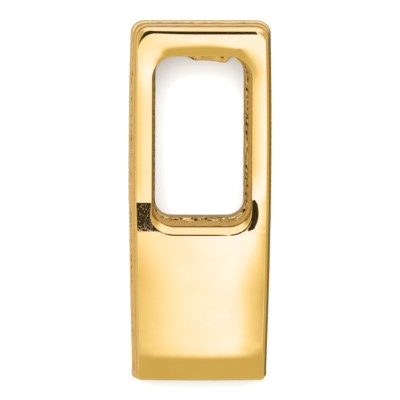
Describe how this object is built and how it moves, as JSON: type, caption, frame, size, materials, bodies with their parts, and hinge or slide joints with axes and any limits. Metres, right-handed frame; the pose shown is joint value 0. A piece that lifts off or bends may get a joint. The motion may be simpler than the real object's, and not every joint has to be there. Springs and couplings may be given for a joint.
{
  "type": "slide pendant",
  "caption": "Polished yellow-gold slide pendant, 20 mm long, with a window, a raised lower plate and a flat back.",
  "frame": {"origin": "middle of the flat back, on the surface that the pendant lies on", "axes": "+Z out of the face, +Y along the pendant to its top end, +X to the right seen from the front"},
  "size_m": [0.008, 0.02, 0.0042],
  "materials": {
    "gold": "mirror-polished 14 ct yellow gold"
  },
  "bodies": {
    "root": {"slide_body": "gold"}
  },
  "joints": []
}
